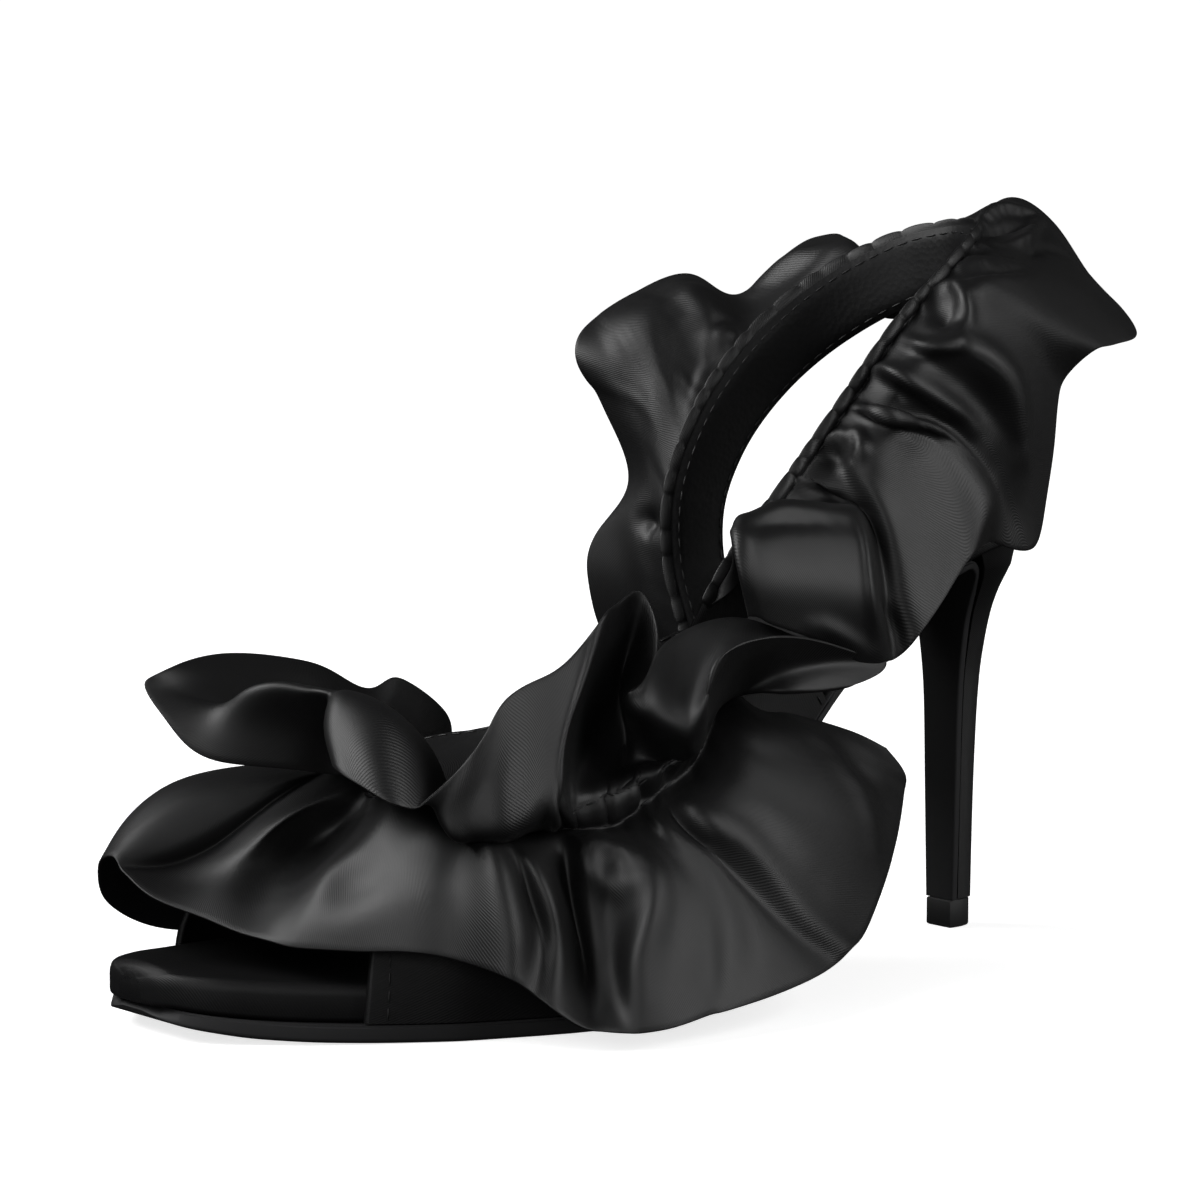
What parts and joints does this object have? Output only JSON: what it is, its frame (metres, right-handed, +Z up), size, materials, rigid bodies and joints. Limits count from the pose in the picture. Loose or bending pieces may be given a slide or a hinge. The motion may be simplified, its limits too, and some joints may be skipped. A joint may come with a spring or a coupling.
{
  "type": "slingback sandal",
  "caption": "Open-toed slingback sandal on a slim high heel, with a satin vamp and sling strap edged by wide gathered ruffles.",
  "frame": {"origin": "on the floor, on the flat tread under the ball of the foot", "axes": "+X from toe to heel, +Y towards the medial side of this left shoe, +Z up from the floor"},
  "size_m": [0.2422, 0.1279, 0.1585],
  "materials": {
    "satin": "satin weave with soft sheen",
    "sole_leather": "smooth, semi-matte",
    "tip_rubber": "matte"
  },
  "bodies": {
    "root": {"outsole": "sole_leather", "insole": "satin", "heel": "satin", "heel_tip": "tip_rubber", "upper": "satin", "vamp_ruffle": "satin", "sling_ruffle": "satin"}
  },
  "joints": []
}
